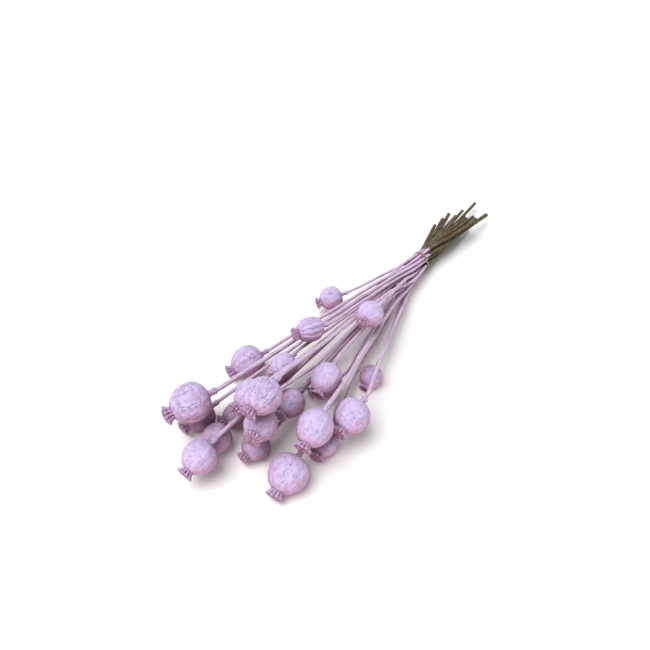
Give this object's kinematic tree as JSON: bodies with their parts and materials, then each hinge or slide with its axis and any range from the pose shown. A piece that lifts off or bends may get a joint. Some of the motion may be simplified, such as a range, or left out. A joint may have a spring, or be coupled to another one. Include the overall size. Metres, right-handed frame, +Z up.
{
  "type": "dried poppy seed head bunch",
  "caption": "Bunch of dried, painted poppy seed heads on long stems, tied with an elastic band and lying on its side.",
  "frame": {"origin": "middle of the bunch's footprint on the surface that it lies on", "axes": "+Y along the bunch towards the bare cut ends, with the seed heads towards -Y; +Z up"},
  "size_m": [0.1682, 0.5508, 0.1009],
  "materials": {
    "painted_poppy": "dried seed heads and stems under matte, chalky lilac-pink paint, with bare olive-brown cut ends",
    "tie": "thin tan elastic band"
  },
  "bodies": {
    "root": {"poppy_01": "painted_poppy", "poppy_02": "painted_poppy", "poppy_03": "painted_poppy", "poppy_04": "painted_poppy", "poppy_05": "painted_poppy", "poppy_06": "painted_poppy", "poppy_07": "painted_poppy", "poppy_08": "painted_poppy", "poppy_09": "painted_poppy", "poppy_10": "painted_poppy", "poppy_11": "painted_poppy", "poppy_12": "painted_poppy", "poppy_13": "painted_poppy", "poppy_14": "painted_poppy", "poppy_15": "painted_poppy", "poppy_16": "painted_poppy", "poppy_17": "painted_poppy", "poppy_18": "painted_poppy", "poppy_19": "painted_poppy", "poppy_20": "painted_poppy", "poppy_21": "painted_poppy", "poppy_22": "painted_poppy", "elastic_tie": "tie"}
  },
  "joints": []
}
